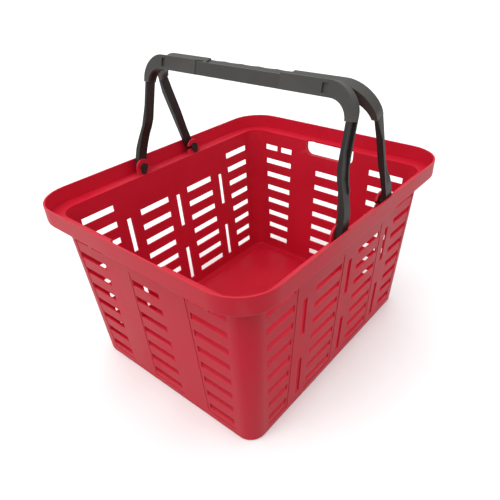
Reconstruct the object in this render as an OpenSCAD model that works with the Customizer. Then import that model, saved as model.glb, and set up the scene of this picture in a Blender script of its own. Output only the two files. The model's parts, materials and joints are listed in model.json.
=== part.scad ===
// Hand-carried shopping basket with two swing handles that lean together.
// X runs along the basket, Y across it, Z up. The origin is the middle of the underside.

/* [Basket] */
// Length over the rim
rim_length = 450; // [448:1:460]
// Width over the rim
rim_width = 367.4; // [367.4:0.2:374]
// Height of the rim's top edge
rim_height = 255.6; // [255:0.2:262]
// Length of the walls where they meet the floor
base_length = 378; // [370:0.2:382]
// Width of the walls where they meet the floor
base_width = 297.7; // [290:0.1:302]
// Length of the walls at the ledge
neck_length = 405.8; // [400:0.2:408]
// Width of the walls at the ledge
neck_width = 328.7; // [328:0.1:330]
// Wall thickness
wall = 2.4; // [2:0.1:2.8]
// Thickness of the upright lip
lip_wall = 2.2; // [1.8:0.1:2.2]
// Height of the ledge's upper face
ledge_top = 234.6; // [234:0.1:234.6]
// Thickness of the ledge
ledge_thickness = 2.6; // [2.2:0.1:3]
// Thickness of the floor at its edge
floor_thickness = 3; // [2.8:0.1:4]

/* [Slots] */
// Rows of slots in the outer columns
slot_rows = 8; // [6:1:8]
// Height of one slot
slot_height = 9.8; // [7:0.1:11]
// Distance between rows
slot_pitch = 25.8; // [24:0.1:26]
// Upper edge of the top row
first_slot_top = 211.3; // [209:0.1:213]
// Width of an upright slot
upright_width = 8; // [5:0.5:9]
// Depth of the recessed panels around the slot columns
panel_depth = 0.5; // [0.3:0.1:1]
// Half the length of the hand hole
hand_hole_half = 45.5; // [42:0.5:50]
// Height of the hand hole
hand_hole_height = 21.3; // [20:0.1:22]

/* [Handles] */
// Distance from the middle of the basket to a pivot, along X
pivot_x = 52; // [52:0.5:56]
// Height of the pivots
pivot_z = 245.3; // [245.3:0.1:245.6]
// Distance from a pivot to the top of its grip
handle_reach = 160; // [157:0.5:160]
// Depth of a handle across its own plane
handle_depth = 14; // [12:0.5:14]
// Height of a grip in the handle's plane
grip_height = 18; // [16:0.5:18]
// Lean of the inner handle at rest, in degrees
inner_lean = 14.2; // [13.6:0.2:14.6]
// Lean of the outer handle at rest, in degrees
outer_lean = 18.4; // [17.8:0.2:18.8]
// Distance between finger scoops
finger_pitch = 28; // [24:0.5:30]

/* [Pivots] */
// Diameter of the stub axles
axle_d = 6.6; // [6:0.1:7]
// Radial clearance between axle and ear
axle_clearance = 0.08; // [0.05:0.01:0.1]
// Thickness of an ear
ear_thickness = 2.6; // [2.2:0.1:2.6]
// Radius of an ear's round top
ear_radius = 12; // [10.4:0.2:12]

/* [Hidden] */
$fn = 48;
red = [0.72, 0.10, 0.16];
dark = [0.16, 0.16, 0.16];
grey = [0.31, 0.31, 0.29];
eps = 0.01;

// Basket walls, seen in section
slope_x = (neck_length - base_length) / 2 / ledge_top;
slope_y = (neck_width - base_width) / 2 / ledge_top;
base_corner = 22;
neck_corner = 26.5;
foot_round = 2.5;
inside_round = 4;
floor_step = 0.5;
floor_step_inset = 13;
floor_step_corner = 16;
cut_start = 12;
cut_length = 40;

// Rim
rim_corner = 51;
rim_draft = 0.3;
rim_round = 2.5;
ledge_bottom = ledge_top - ledge_thickness;

// Slot columns: inner and outer edge in the top row, then in the bottom row
long_outer = [119.8, 172.6, 124.4, 158.7];
long_middle = [20.1, 76.2, 22.8, 79.7];
short_outer = [75.9, 133.5, 79.1, 120.3];
short_middle_top = 23.6;
short_middle_bottom = 26.4;
top_row_bridge = [99.5, 107.3];
panel_margin = 4.5;
panel_corner_margin = 2;
panel_narrow_margin = 2.3;
panel_bottom = 12;
panel_top = 225;
panel_top_middle = 197;
panel_reach = 5;
upright_x = 99.5;
upright_low = [19.5, 62.5];
upright_high = [123.9, 56.9];

// Hand hole: a collar stands out around it, and the ledge is notched above it
hole_corner = 11;
collar_reach = 4;
collar_wall = 2;
notch_depth = 5.9;
notch_corner = 6;

// Pivots: ear, leg and locking head lie side by side along Y
ear_y = 167.5;
side_gap = 0.35;
leg_face = ear_y + ear_thickness / 2 + side_gap;
head_face = ear_y - ear_thickness / 2 - side_gap;
head_thickness = 2.6;
head_radius = 6;
tail_radius = 3.4;
tail_reach = 10.4;
entry_narrowing = 1;
ear_root = 1;

// Handle section
half_depth = handle_depth / 2;
tongue_half = 3.5;
tongue_lap = 0.3;
grip_low = handle_reach - grip_height;
cover_end = handle_reach - 38;
bar_top = handle_reach - 6;
corner_power = 1.85;
tongue_power = 1.85;
seam = 1;

// A leg is an L in section: a web the full depth of the handle, and a flange that reaches outward
// on the face towards the other handle. Edge points run from the pivot upwards.
flange_depth = 3;
boss_radius = 5.5;

inner_foot = 177.3;
inner_face = [[leg_face, 0], [leg_face, 14], [168, 26], [166, 38], [163.3, 50], [159.8, 60],
  [157.2, 72], [157.2, cover_end]];
inner_web = [[inner_foot, 0], [inner_foot, 14], [176.4, 26], [173.2, 38], [169, 50], [165, 62],
  [163.2, 75], [161.4, 90], [161.4, cover_end]];
inner_flange = [[171, 40], [171, 50], [168, 58], [165.3, 72], [164.3, 84], [164.3, cover_end]];
inner_flange_root = [[168, 40], [160, 72], [160, cover_end]];
inner_corner = [32, 30.5];
inner_cover_out = 164.5;
inner_bend = [155.4, 21.3];
inner_tongue = [31, 26.5];
inner_tongue_out = 162.8;

outer_foot = 180.4;
outer_face = [[174.3, 0], [174.3, 30], [173.5, 45], [172.3, 60], [172.3, 100], [171.6, cover_end]];
outer_web = [[outer_foot, 0], [outer_foot, 27], [179.5, 36], [176.3, 45], [175.2, 60], [175, cover_end]];
outer_flange = [[outer_foot, 20], [outer_foot, 100], [176, cover_end]];
outer_flange_root = [[176, 20], [175, 45], [173.6, 60], [173.4, cover_end]];
outer_corner = [40, 37.5];
outer_cover_out = 175.5;
outer_bend = [169.8, 29];
outer_tongue = [39, 34];
outer_tongue_out = 173.4;

// Grip details
window_u = 126;
window_width = 7;
window_margin = 3.8;
window_depth = 2.2;
finger_half = 66.5;
finger_drop = 1.8;
finger_radius = 92;
finger_depth = 1.5;

function half_x(z) = base_length / 2 + slope_x * z;
function half_y(z) = base_width / 2 + slope_y * z;

// Column edges move in a straight line from the top row to the bottom row
function along(a, b, row) = a + (b - a) * row / (slot_rows - 1);
function row_top(row) = first_slot_top - slot_pitch * row;

// Points of a soft outer corner, from its side round to its top
function soft_corner(out, top, size, power, steps = 12) =
  [for (i = [0:steps]) let (a = 90 * i / steps)
    [out - size[0] + size[0] * pow(cos(a), 2 / power), top - size[1] + size[1] * pow(sin(a), 2 / power)]];

// Points of the inner bend, from the underside of the grip round to its end
function bend(side, r, low, end, steps = 10) =
  let (c = [side - r, low - r], last = asin((end - c[1]) / r))
  [for (i = [0:steps]) let (a = 90 - (90 - last) * i / steps) [c[0] + r * cos(a), c[1] + r * sin(a)]];

module both_sides() {
  children();
  mirror([1, 0, 0]) children();
}

module rounded(length, width, r) {
  square([length - 2 * r, width], center = true);
  square([length, width - 2 * r], center = true);
  for (x = [-1, 1], y = [-1, 1])
    translate([x * (length / 2 - r), y * (width / 2 - r)]) circle(r);
}

module slab(z, half_length, half_width, r) {
  translate([0, 0, z]) linear_extrude(eps) rounded(2 * half_length, 2 * half_width, r, $fn = 32);
}

// Tapered tub drawn between two heights, inset from the outer walls, with a round foot
module tub(inset, low, high, foot) {
  hull() {
    for (step = [[0, 1], [0.29, 0.29], [1, 0]]) {
      z = low + foot * step[0];
      in = inset + foot * step[1];
      slab(z, half_x(z) - in, half_y(z) - in, base_corner - in);
    }
    slab(high - eps, half_x(high) - inset, half_y(high) - inset, neck_corner - inset);
  }
}

// Ledge and lip drawn solid
module rim_outside() {
  hull() {
    for (step = [[0, 1], [0.29, 0.29], [1, 0]]) {
      in = rim_draft + rim_round * step[1];
      slab(ledge_bottom + rim_round * step[0], rim_length / 2 - in, rim_width / 2 - in, rim_corner - in);
    }
    slab(rim_height - eps, rim_length / 2, rim_width / 2, rim_corner);
  }
}

// Space inside the lip, above the ledge
module rim_inside() {
  low = lip_wall + rim_draft;
  hull() {
    slab(ledge_top, rim_length / 2 - low, rim_width / 2 - low, rim_corner - low);
    slab(rim_height, rim_length / 2 - lip_wall, rim_width / 2 - lip_wall, rim_corner - lip_wall);
  }
}

// Square hole through the wall at +Y
module long_cut(x0, x1, bottom, height) {
  translate([x0, half_y(0) - cut_start, bottom]) cube([x1 - x0, cut_length, height]);
}

// Square hole through the wall at +X
module short_cut(y0, y1, bottom, height) {
  translate([half_x(0) - cut_start, y0, bottom]) cube([cut_length, y1 - y0, height]);
}

// Recessed panel: its inner and outer edge in the top row, then in the bottom row, widened by margins
module panel_shape(edges, inner_margin, outer_margin, top) {
  fall = (row_top(0) - panel_bottom) / (slot_pitch * (slot_rows - 1));
  rise = (top - row_top(0)) / (slot_pitch * (slot_rows - 1));
  in_top = edges[0] - (edges[2] - edges[0]) * rise - inner_margin;
  in_bottom = edges[0] + (edges[2] - edges[0]) * fall - inner_margin;
  out_top = edges[1] - (edges[3] - edges[1]) * rise + outer_margin;
  out_bottom = edges[1] + (edges[3] - edges[1]) * fall + outer_margin;
  polygon([[in_bottom, panel_bottom], [out_bottom, panel_bottom], [out_top, top], [in_top, top]]);
}

module long_wall_panels() {
  translate([0, half_y(0), 0]) rotate([-atan(slope_y), 0, 0]) translate([0, panel_reach, 0])
    rotate([90, 0, 0]) linear_extrude(panel_reach + panel_depth) both_sides() {
      panel_shape(long_outer, panel_margin, panel_corner_margin, panel_top);
      panel_shape(long_middle, panel_margin, panel_margin, panel_top_middle);
    }
}

module short_wall_panels() {
  middle = [-short_middle_top, short_middle_top, -short_middle_bottom, short_middle_bottom];
  translate([half_x(0), 0, 0]) rotate([0, atan(slope_x), 0]) translate([-panel_depth, 0, 0])
    rotate([90, 0, 90]) linear_extrude(panel_reach + panel_depth) {
      both_sides() panel_shape(short_outer, panel_margin, panel_corner_margin, panel_top);
      panel_shape(middle, panel_narrow_margin, panel_narrow_margin, panel_top_middle);
    }
}

module long_wall_slots() {
  both_sides() {
    for (row = [0:slot_rows - 1])
      long_cut(along(long_outer[0], long_outer[2], row), along(long_outer[1], long_outer[3], row),
        row_top(row) - slot_height, slot_height);
    for (row = [1:slot_rows - 1])
      long_cut(along(long_middle[0], long_middle[2], row), along(long_middle[1], long_middle[3], row),
        row_top(row) - slot_height, slot_height);
  }
  for (x = [-upright_x, 0, upright_x], part = [upright_low, upright_high])
    long_cut(x - upright_width / 2, x + upright_width / 2, part[0], part[1]);
}

module short_wall_slots() {
  for (m = [0, 1]) mirror([0, m, 0]) {
    short_cut(short_outer[0], top_row_bridge[0], row_top(0) - slot_height, slot_height);
    short_cut(top_row_bridge[1], short_outer[1], row_top(0) - slot_height, slot_height);
    for (row = [1:slot_rows - 1])
      short_cut(along(short_outer[0], short_outer[2], row), along(short_outer[1], short_outer[3], row),
        row_top(row) - slot_height, slot_height);
  }
  for (row = [1:slot_rows - 1]) {
    half = along(short_middle_top, short_middle_bottom, row);
    short_cut(-half, half, row_top(row) - slot_height, slot_height);
  }
}

// Outline of the hand hole, grown all round but at its straight top
module hole_outline(grow) {
  r = hole_corner + grow;
  low = ledge_bottom - hand_hole_height - grow;
  half = hand_hole_half + grow;
  translate([-half + r, low]) square([2 * (half - r), ledge_bottom - low]);
  translate([-half, low + r]) square([2 * half, ledge_bottom - low - r]);
  for (y = [-1, 1]) translate([y * (half - r), low + r]) circle(r);
}

// Collar around the hand hole on the outside of the wall at +X
module hole_collar() {
  depth = collar_reach + wall / 2;
  translate([half_x(ledge_bottom) + collar_reach - depth, 0, 0]) rotate([90, 0, 90]) linear_extrude(depth)
    hole_outline(collar_wall);
}

// Hand hole through wall and collar, and the notch above it
module hand_hole() {
  translate([half_x(0) - cut_start, 0, 0]) rotate([90, 0, 90]) linear_extrude(cut_length) hole_outline(0);
  x = half_x(ledge_top) - wall + notch_depth;
  translate([x - cut_start, 0, ledge_bottom - 1]) linear_extrude(ledge_thickness + 2) {
    translate([0, -hand_hole_half]) square([cut_start - notch_corner, 2 * hand_hole_half]);
    translate([0, notch_corner - hand_hole_half]) square([cut_start, 2 * (hand_hole_half - notch_corner)]);
    for (y = [-1, 1]) translate([cut_start - notch_corner, y * (hand_hole_half - notch_corner)])
      circle(notch_corner);
  }
}

// One ear: a plate with a round top, its axle hole, and a snap-in slot that faces mid-basket
module ear() {
  rise = pivot_z - ledge_top;
  opening = axle_d - entry_narrowing;
  translate([pivot_x, ear_y + ear_thickness / 2, pivot_z]) rotate([90, 0, 0]) difference() {
    linear_extrude(ear_thickness) {
      circle(ear_radius);
      translate([-ear_radius, -rise - ear_root]) square([2 * ear_radius, rise + ear_root]);
    }
    translate([0, 0, -1]) cylinder(h = ear_thickness + 2, r = axle_d / 2 + axle_clearance);
    translate([-ear_radius - 1, -opening / 2, -1]) cube([ear_radius + 1, opening, ear_thickness + 2]);
  }
}

module basket_body() {
  color(red) {
    difference() {
      union() {
        tub(0, 0, ledge_top - eps, foot_round);
        rim_outside();
        for (m = [0, 1]) mirror([m, 0, 0]) hole_collar();
      }
      tub(wall, floor_thickness, ledge_top + 1, inside_round);
      rim_inside();
      translate([0, 0, floor_thickness - floor_step]) linear_extrude(floor_step + 1)
        rounded(base_length - 2 * floor_step_inset, base_width - 2 * floor_step_inset, floor_step_corner);
      for (m = [0, 1]) mirror([0, m, 0]) {
        long_wall_slots();
        long_wall_panels();
      }
      for (m = [0, 1]) mirror([m, 0, 0]) {
        short_wall_slots();
        short_wall_panels();
        hand_hole();
      }
    }
    for (mx = [0, 1], my = [0, 1]) mirror([mx, 0, 0]) mirror([0, my, 0]) ear();
  }
}

// From a handle's own frame (across, along, outward) to its place on the basket, leaning in
module stand(lean, turn) {
  rotate([0, 0, turn]) translate([pivot_x, 0, pivot_z]) rotate([0, -lean, 0]) rotate([90, 0, 90]) children();
}

// A cylinder between two distances along the pivot axis
module on_axis(from, to, r) {
  translate([from, 0, 0]) rotate([0, 90, 0]) cylinder(h = to - from, r = r);
}

// Stub axle through the ear, and the long head that locks it there
module axle(inside_leg) {
  on_axis(head_face - eps, inside_leg, axle_d / 2);
  t = tail_reach - tail_radius;
  translate([head_face, 0, 0]) rotate([90, 0, -90]) linear_extrude(head_thickness) {
    circle(head_radius);
    polygon([[0, -head_radius], [t, -tail_radius], [t, tail_radius], [0, head_radius]]);
    translate([t, 0]) circle(tail_radius);
  }
}

// Outline of a grip cover, half of it, down to its end on the leg
module cover_outline(out, corner, bent, end) {
  polygon(concat([[-seam, grip_low]], bend(bent[0], bent[1], grip_low, end), [[out, end]],
    soft_corner(out, handle_reach, corner, corner_power), [[-seam, handle_reach]]));
}

// Outline of the space in a cover for the cross bar, open downwards
module room_outline(out, corner) {
  low = cover_end - 5;
  polygon(concat([[-seam, low], [out, low]], soft_corner(out, bar_top, corner, tongue_power),
    [[-seam, bar_top]]));
}

// Cross bar and elbows of a handle
module bar(out, corner, bent, room_out, room_corner) {
  both_sides() translate([0, 0, -tongue_half]) linear_extrude(2 * tongue_half) intersection() {
    cover_outline(out, corner, bent, cover_end - tongue_lap);
    room_outline(room_out, room_corner);
  }
}

// Grip cover: a saddle over the cross bar with finger scoops and two shallow windows in its outward face
module cover(out, corner, bent, room_out, room_corner) {
  difference() {
    both_sides() translate([0, 0, -half_depth]) linear_extrude(handle_depth)
      cover_outline(out, corner, bent, cover_end);
    both_sides() translate([0, 0, -tongue_half]) linear_extrude(2 * tongue_half)
      room_outline(room_out, room_corner);
    translate([-finger_half, handle_reach - finger_drop, -half_depth - 1])
      cube([2 * finger_half, finger_drop + 1, handle_depth + 2]);
    translate([0, handle_reach + 1, 0]) rotate([90, 0, 0]) linear_extrude(grip_height + 2) intersection() {
      translate([-finger_half, tongue_half]) square([2 * finger_half, half_depth]);
      for (i = [-2:2]) translate([i * finger_pitch, half_depth - finger_depth + finger_radius])
        circle(finger_radius, $fn = 192);
    }
    both_sides() translate([window_u - window_width / 2, grip_low + window_margin, half_depth - window_depth])
      cube([window_width, grip_height - 2 * window_margin, window_depth + 1]);
  }
}

// Outline between two edges that both run upwards
module between(near, far) {
  polygon(concat(near, [for (i = [len(far) - 1:-1:0]) far[i]]));
}

// One leg, its round pivot end, its axle and, where the foot stands off the ear, a boss that reaches it
module leg(face, web, root, flange) {
  translate([0, 0, -half_depth]) linear_extrude(handle_depth) between(face, web);
  translate([0, 0, -half_depth]) linear_extrude(flange_depth) between(root, flange);
  on_axis(face[0][0], web[0][0], half_depth);
  if (face[0][0] > leg_face) on_axis(leg_face, face[0][0] + 1, boss_radius);
  axle(leg_face + 1);
}

module inner_handle() {
  color(dark) stand(inner_lean, 180) {
    both_sides() leg(inner_face, inner_web, inner_flange_root, inner_flange);
    bar(inner_cover_out, inner_corner, inner_bend, inner_tongue_out, inner_tongue);
  }
}

module inner_grip() {
  color(grey) stand(inner_lean, 180)
    cover(inner_cover_out, inner_corner, inner_bend, inner_tongue_out, inner_tongue);
}

module outer_handle() {
  color(dark) stand(outer_lean, 0) {
    both_sides() leg(outer_face, outer_web, outer_flange_root, outer_flange);
    bar(outer_cover_out, outer_corner, outer_bend, outer_tongue_out, outer_tongue);
  }
}

module outer_grip() {
  color(grey) stand(outer_lean, 0)
    cover(outer_cover_out, outer_corner, outer_bend, outer_tongue_out, outer_tongue);
}

basket_body();
inner_handle();
inner_grip();
outer_handle();
outer_grip();
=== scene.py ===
import json
import math

import bmesh
import bpy
from mathutils import Matrix, Vector


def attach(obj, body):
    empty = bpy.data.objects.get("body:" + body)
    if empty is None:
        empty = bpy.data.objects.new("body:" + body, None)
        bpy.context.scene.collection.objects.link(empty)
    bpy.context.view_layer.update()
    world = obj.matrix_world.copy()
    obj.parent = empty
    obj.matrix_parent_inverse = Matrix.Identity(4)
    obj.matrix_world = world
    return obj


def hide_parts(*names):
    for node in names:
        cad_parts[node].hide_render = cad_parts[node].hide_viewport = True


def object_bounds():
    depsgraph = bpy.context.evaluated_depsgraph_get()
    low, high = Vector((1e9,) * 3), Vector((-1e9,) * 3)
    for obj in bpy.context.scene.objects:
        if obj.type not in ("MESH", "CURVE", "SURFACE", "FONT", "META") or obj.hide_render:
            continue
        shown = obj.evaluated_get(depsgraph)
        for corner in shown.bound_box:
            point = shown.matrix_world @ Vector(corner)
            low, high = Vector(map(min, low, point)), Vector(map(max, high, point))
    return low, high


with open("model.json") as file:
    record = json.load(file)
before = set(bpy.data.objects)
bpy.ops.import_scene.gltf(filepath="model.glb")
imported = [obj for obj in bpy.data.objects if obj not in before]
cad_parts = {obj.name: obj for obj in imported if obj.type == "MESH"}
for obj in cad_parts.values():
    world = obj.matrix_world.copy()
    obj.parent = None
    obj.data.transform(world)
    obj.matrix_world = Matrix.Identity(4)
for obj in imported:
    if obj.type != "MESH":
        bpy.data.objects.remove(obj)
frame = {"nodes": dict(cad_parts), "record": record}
CAD_BOUNDS = [list(c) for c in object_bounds()]
SCENE = bpy.context.scene

# Outline of the grips in the plane of their handles, and how far each handle leans at rest
GRIP_REACH = 0.160
CORNER_POWER = 1.85
INNER_OUT, INNER_CORNER, INNER_LEAN = 0.1645, (0.032, 0.0305), 14.2
OUTER_OUT, OUTER_CORNER, OUTER_LEAN = 0.1755, (0.040, 0.0375), 18.4
OUTLINE_SHARE = 0.87  # how near the outline a point counts as lying on it, 1 being right on it
HANDLE_EDGE = 0.0006
GRIP_EDGE = 0.0005
GRIP_SOFT_EDGE = 0.0016
BASKET_EDGE = 0.0005


# ---------------------------------------------------------------- meshes

def outer_edge(joint, out, corner, lean):
    """Tells whether a point lies on a grip's outer outline, seen in the plane of its handle."""
    pivot = next(j["pos_m"] for j in frame["record"]["behaviour"]["joints"] if j["name"] == joint)
    side = 1.0 if pivot[0] > 0 else -1.0
    a = math.radians(lean)

    def test(co):
        v = -side * math.sin(a) * (co.x - pivot[0]) + math.cos(a) * (co.z - pivot[2])
        along = max(0.0, (abs(co.y) - out + corner[0]) / corner[0])
        above = max(0.0, (v - GRIP_REACH + corner[1]) / corner[1])
        return along ** CORNER_POWER + above ** CORNER_POWER > OUTLINE_SHARE
    return test


def bevel(bm, edges, width, segments):
    bmesh.ops.bevel(bm, geom=edges, offset=width, offset_type="OFFSET", segments=segments,
                    profile=0.5, affect="EDGES", clamp_overlap=True)


def refined(node, name, body, width, segments=2, angle=24.0, soft=None, soft_width=0.0):
    """A copy of a CAD node with merged faces, rounded edges and smooth shading, shown in its place.
    Edges that pass the soft test are rounded more widely, before the others."""
    src = frame["nodes"][node]
    me = bpy.data.meshes.new(name)
    bm = bmesh.new()
    bm.from_mesh(src.data)
    bmesh.ops.remove_doubles(bm, verts=bm.verts, dist=2e-6)
    bmesh.ops.dissolve_limit(bm, angle_limit=math.radians(1.0), verts=bm.verts, edges=bm.edges)
    limit = math.radians(angle)

    def sharp():
        return [e for e in bm.edges if len(e.link_faces) == 2 and e.calc_face_angle(0.0) > limit]

    if soft:
        bevel(bm, [e for e in sharp() if all(soft(v.co) for v in e.verts)], soft_width, 4)
    bevel(bm, sharp(), width, segments)
    for f in bm.faces:
        f.smooth = True
    bm.to_mesh(me)
    bm.free()
    ob = bpy.data.objects.new(name, me)
    SCENE.collection.objects.link(ob)
    mod = ob.modifiers.new("normals", "WEIGHTED_NORMAL")
    mod.mode = "FACE_AREA"
    mod.weight = 60
    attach(ob, body)
    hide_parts(node)
    return ob


# ---------------------------------------------------------------- materials

class Nodes:
    """Small helper that adds linked shader nodes."""

    def __init__(self, name):
        self.mat = bpy.data.materials.new(name)
        self.mat.use_nodes = True
        self.tree = self.mat.node_tree
        self.tree.nodes.clear()

    def add(self, kind, **settings):
        n = self.tree.nodes.new(kind)
        for k, v in settings.items():
            if k.startswith("in_"):
                n.inputs[k[3:].replace("_", " ")].default_value = v
            else:
                setattr(n, k, v)
        return n

    def link(self, a, b):
        self.tree.links.new(a, b)


def moulded(name, deep, pale, rough, grain_mm, grain_depth, scuff_and_highlight, specular):
    """Injection-moulded plastic: fine spark grain, slow flow marks, and paler edges, partly scuffs
    and partly a painted edge highlight.
    """
    m = Nodes(name)
    out = m.add("ShaderNodeOutputMaterial")
    shader = m.add("ShaderNodeBsdfPrincipled")
    shader.inputs["Specular IOR Level"].default_value = specular
    m.link(shader.outputs["BSDF"], out.inputs["Surface"])
    where = m.add("ShaderNodeTexCoord")
    flow = m.add("ShaderNodeTexNoise", in_Scale=11.0, in_Detail=3.0, in_Roughness=0.55)
    m.link(where.outputs["Object"], flow.inputs["Vector"])
    speck = m.add("ShaderNodeTexNoise", in_Scale=420.0, in_Detail=2.0, in_Roughness=0.6)
    m.link(where.outputs["Object"], speck.inputs["Vector"])
    blend = m.add("ShaderNodeMix", data_type="FLOAT")
    blend.inputs[0].default_value = 0.3
    m.link(flow.outputs["Fac"], blend.inputs[2])
    m.link(speck.outputs["Fac"], blend.inputs[3])
    tone = m.add("ShaderNodeMapRange")
    tone.inputs["From Min"].default_value = 0.3
    tone.inputs["From Max"].default_value = 0.7
    m.link(blend.outputs[0], tone.inputs["Value"])
    colour = m.add("ShaderNodeMix", data_type="RGBA")
    colour.inputs[6].default_value = (*deep, 1)
    colour.inputs[7].default_value = (*pale, 1)
    m.link(tone.outputs["Result"], colour.inputs[0])
    # paler sharp outward edges: scuffs broken up by noise, plus a painted highlight along the edges
    geo = m.add("ShaderNodeNewGeometry")
    edge = m.add("ShaderNodeMapRange")
    edge.inputs["From Min"].default_value = 0.53
    edge.inputs["From Max"].default_value = 0.62
    m.link(geo.outputs["Pointiness"], edge.inputs["Value"])
    rub = m.add("ShaderNodeTexNoise", in_Scale=140.0, in_Detail=4.0, in_Roughness=0.7)
    m.link(where.outputs["Object"], rub.inputs["Vector"])
    scuff_highlight_mask = m.add("ShaderNodeMath", operation="MULTIPLY")
    m.link(edge.outputs["Result"], scuff_highlight_mask.inputs[0])
    m.link(rub.outputs["Fac"], scuff_highlight_mask.inputs[1])
    scuff_highlight_amount = m.add("ShaderNodeMath", operation="MULTIPLY")
    scuff_highlight_amount.inputs[1].default_value = scuff_and_highlight
    m.link(scuff_highlight_mask.outputs[0], scuff_highlight_amount.inputs[0])
    # mixes in the pale edge colour: scuff wear and a painted edge highlight together
    scuffed_highlit_colour = m.add("ShaderNodeMix", data_type="RGBA")
    scuffed_highlit_colour.inputs[7].default_value = tuple(min(1.0, c * 0.6 + 0.25) for c in pale) + (1,)
    m.link(scuff_highlight_amount.outputs[0], scuffed_highlit_colour.inputs[0])
    m.link(colour.outputs[2], scuffed_highlit_colour.inputs[6])
    m.link(scuffed_highlit_colour.outputs[2], shader.inputs["Base Color"])
    gloss = m.add("ShaderNodeMapRange")
    gloss.inputs["From Min"].default_value = 0.3
    gloss.inputs["From Max"].default_value = 0.7
    gloss.inputs["To Min"].default_value = rough - 0.05
    gloss.inputs["To Max"].default_value = rough + 0.06
    m.link(blend.outputs[0], gloss.inputs["Value"])
    m.link(gloss.outputs["Result"], shader.inputs["Roughness"])
    grain = m.add("ShaderNodeTexNoise", in_Scale=1000.0 / grain_mm, in_Detail=2.0, in_Roughness=0.5)
    m.link(where.outputs["Object"], grain.inputs["Vector"])
    bump = m.add("ShaderNodeBump", in_Strength=0.35, in_Distance=grain_depth)
    m.link(grain.outputs["Fac"], bump.inputs["Height"])
    m.link(bump.outputs["Normal"], shader.inputs["Normal"])
    return m.mat


# the last colour argument sets how much sharp edges are paled, by scuffs and by a painted edge
# highlight
RED = moulded("red_basket_plastic", (0.51, 0.006, 0.022), (0.59, 0.009, 0.032),
              rough=0.44, grain_mm=0.7, grain_depth=0.00006, scuff_and_highlight=0.15, specular=0.25)
DARK = moulded("dark_handle_plastic", (0.013, 0.011, 0.010), (0.020, 0.0175, 0.015),
               rough=0.42, grain_mm=0.6, grain_depth=0.00005, scuff_and_highlight=0.15, specular=0.25)
GREY = moulded("grey_grip_plastic", (0.038, 0.037, 0.034), (0.052, 0.050, 0.045),
               rough=0.48, grain_mm=0.5, grain_depth=0.00008, scuff_and_highlight=0.24, specular=0.35)

basket = refined("basket_body", "basket_shell", "basket", BASKET_EDGE)
basket.data.materials.append(RED)
for node, body in (("inner_handle", "inner_bail"), ("outer_handle", "outer_bail")):
    piece = refined(node, node + "_skin", body, HANDLE_EDGE)
    piece.data.materials.append(DARK)
for node, body, edge_test in (
        ("inner_grip", "inner_bail",
         outer_edge("inner_handle_fold", INNER_OUT, INNER_CORNER, INNER_LEAN)),
        ("outer_grip", "outer_bail",
         outer_edge("outer_handle_fold", OUTER_OUT, OUTER_CORNER, OUTER_LEAN))):
    piece = refined(node, node + "_skin", body, GRIP_EDGE, soft=edge_test, soft_width=GRIP_SOFT_EDGE)
    piece.data.materials.append(GREY)


# ---------------------------------------------------------------- stage, light and camera

def floor_plane():
    me = bpy.data.meshes.new("studio_floor")
    half = 14.0
    corners = [(-half, -half, 0), (half, -half, 0), (half, half, 0), (-half, half, 0)]
    me.from_pydata(corners, [], [(0, 1, 2, 3)])
    ob = bpy.data.objects.new("studio_floor", me)
    SCENE.collection.objects.link(ob)
    m = Nodes("pale_floor")
    out = m.add("ShaderNodeOutputMaterial")
    shader = m.add("ShaderNodeBsdfPrincipled", in_Roughness=0.9)
    shader.inputs["Base Color"].default_value = (0.93, 0.93, 0.93, 1)
    shader.inputs["Specular IOR Level"].default_value = 0.2
    m.link(shader.outputs["BSDF"], out.inputs["Surface"])
    me.materials.append(m.mat)
    ob.location.z = CAD_BOUNDS[0][2] - 0.0002
    ob.visible_diffuse = False  # the floor casts no bounced light on the basket
    return ob


def area_light(name, place, aim, size, power, colour=(1, 1, 1)):
    data = bpy.data.lights.new(name, "AREA")
    data.shape = "SQUARE"
    data.size = size
    data.energy = power
    data.color = colour
    ob = bpy.data.objects.new(name, data)
    SCENE.collection.objects.link(ob)
    ob.location = place
    ob.rotation_euler = (Vector(aim) - Vector(place)).to_track_quat("-Z", "Y").to_euler()
    return ob


floor_plane()
world = bpy.data.worlds.new("studio")
SCENE.world = world
world.use_nodes = True
back = world.node_tree.nodes["Background"]
back.inputs["Color"].default_value = (1.0, 1.0, 1.0, 1)
# brighter overhead than at the horizon, and dim below it
sky = world.node_tree.nodes.new("ShaderNodeTexCoord")
height = world.node_tree.nodes.new("ShaderNodeSeparateXYZ")
level = world.node_tree.nodes.new("ShaderNodeMapRange")
level.inputs["From Min"].default_value = -0.3
level.inputs["From Max"].default_value = 1.0
level.inputs["To Min"].default_value = 0.2
level.inputs["To Max"].default_value = 1.65
world.node_tree.links.new(sky.outputs["Generated"], height.inputs["Vector"])
world.node_tree.links.new(height.outputs["Z"], level.inputs["Value"])
world.node_tree.links.new(level.outputs["Result"], back.inputs["Strength"])
area_light("key_left", (-1.7, 0.3, 1.6), (0, 0, 0.15), 1.6, 15.0)
SCENE.view_settings.view_transform = "Standard"

CAM_AT = Vector((-0.4603, -0.4010, 0.5244))
AZ, EL, ROLL = map(math.radians, (40.397, 32.439, -2.231))
forward = Vector((math.cos(EL) * math.cos(AZ), math.cos(EL) * math.sin(AZ), -math.sin(EL)))
right = Vector((math.sin(AZ), -math.cos(AZ), 0))
up = right.cross(forward)
right_r = right * math.cos(ROLL) + up * math.sin(ROLL)
up_r = up * math.cos(ROLL) - right * math.sin(ROLL)
cam_data = bpy.data.cameras.new("camera")
cam = bpy.data.objects.new("camera", cam_data)
SCENE.collection.objects.link(cam)
rot = Matrix((right_r, up_r, -forward)).transposed()
cam.matrix_world = Matrix.Translation(CAM_AT) @ rot.to_4x4()
cam_data.sensor_width = 36.0
cam_data.lens = 34.765
cam_data.shift_x = -0.0179
cam_data.shift_y = -0.0035
SCENE.camera = cam
